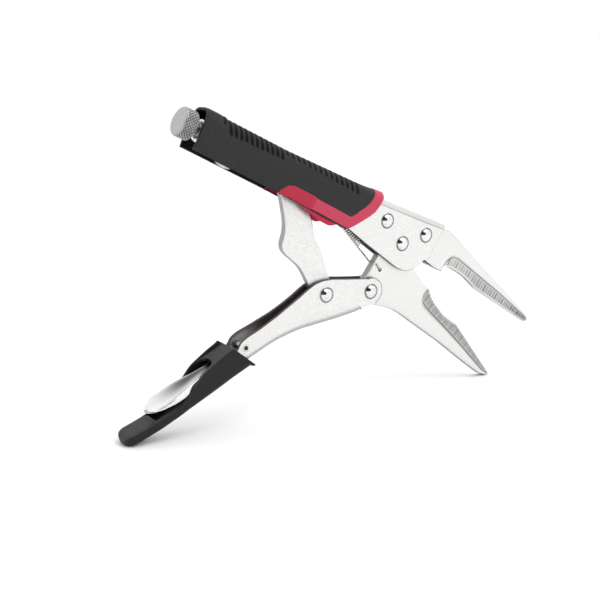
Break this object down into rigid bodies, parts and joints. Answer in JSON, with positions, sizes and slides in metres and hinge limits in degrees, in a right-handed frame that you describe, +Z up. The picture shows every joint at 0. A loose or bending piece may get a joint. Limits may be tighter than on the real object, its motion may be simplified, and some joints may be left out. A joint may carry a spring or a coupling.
{
  "type": "long-nose locking pliers",
  "caption": "Locking pliers with long toothed jaws, a toggle link between riveted steel handles, a return spring, an adjusting screw, a release lever and moulded soft grips.",
  "frame": {"origin": "middle of the footprint of the tool as it stands in its open pose, on the surface under the end of the lower grip and the tip of the moving jaw", "axes": "+X from the handles towards the jaws, +Y across the tool's thickness, away from the side that is seen, +Z up"},
  "size_m": [0.2318, 0.016, 0.143],
  "materials": {
    "satin_nickel": "satin nickel plate over a fine blasted grain",
    "rivet_steel": "polished",
    "spring_steel": "drawn wire, bright",
    "bright_nickel": "polished nickel plate",
    "zinc_plate": "matte zinc plate",
    "grey_rubber": "matte soft grip, dark grey",
    "black_rubber": "matte moulded grip, black",
    "red_rubber": "matte soft grip, crimson"
  },
  "bodies": {
    "upper_handle": {"upper_handle": "satin_nickel", "fixed_jaw": "satin_nickel", "fixed_jaw_front_rivet": "rivet_steel", "fixed_jaw_rear_rivet": "rivet_steel", "pivot_rivet": "rivet_steel", "spring_anchor_pin": "rivet_steel", "upper_grip": "grey_rubber", "grip_trim": "red_rubber", "tension_spring": "spring_steel"},
    "moving_jaw": {"moving_jaw": "satin_nickel"},
    "lower_handle": {"lower_handle": "satin_nickel", "jaw_rivet": "rivet_steel", "link_rivet": "rivet_steel", "lower_grip": "black_rubber", "lever_pin": "rivet_steel"},
    "toggle_link": {"toggle_link": "satin_nickel"},
    "release_lever": {"release_lever": "bright_nickel"},
    "adjusting_screw": {"adjusting_screw": "zinc_plate"},
    "screw_knob": {"screw_knob": "zinc_plate"}
  },
  "joints": [
    {"name": "jaw_hinge", "type": "hinge", "parent": "upper_handle", "child": "moving_jaw", "pos_m": [0.03051, 0, 0.07541], "axis": [0, -1, 0], "range_deg": [0, 19.2], "stiffness_Nm_per_rad": 0.6, "springref_deg": -20.05, "deforming": ["tension_spring"]},
    {"name": "handle_hinge", "type": "hinge", "parent": "moving_jaw", "child": "lower_handle", "pos_m": [0.01301, 0, 0.054], "axis": [0, -1, 0], "range_deg": [-40.8, 0]},
    {"name": "link_hinge", "type": "hinge", "parent": "lower_handle", "child": "toggle_link", "pos_m": [-0.01212, 0, 0.05524], "axis": [0, -1, 0], "range_deg": [0, 31.8]},
    {"name": "lever_hinge", "type": "hinge", "parent": "lower_handle", "child": "release_lever", "pos_m": [-0.05557, 0, 0.03644], "axis": [0, 1, 0], "range_deg": [0, 4]},
    {"name": "screw_travel", "type": "slide", "parent": "upper_handle", "child": "adjusting_screw", "axis": [-0.9003, 0, 0.4352], "range_m": [0, 0.00765]},
    {"name": "screw_turn", "type": "hinge", "parent": "adjusting_screw", "child": "screw_knob", "pos_m": [-0.08503, 0, 0.13737], "axis": [-0.9003, 0, 0.4352], "range_deg": [0, 2160]}
  ],
  "couplings": [
    {"joint": "handle_hinge", "follows": "jaw_hinge", "ratio": -2.11},
    {"joint": "link_hinge", "follows": "jaw_hinge", "ratio": 1.64},
    {"joint": "screw_travel", "follows": "screw_turn", "m_per_rad": 0.00020213}
  ]
}
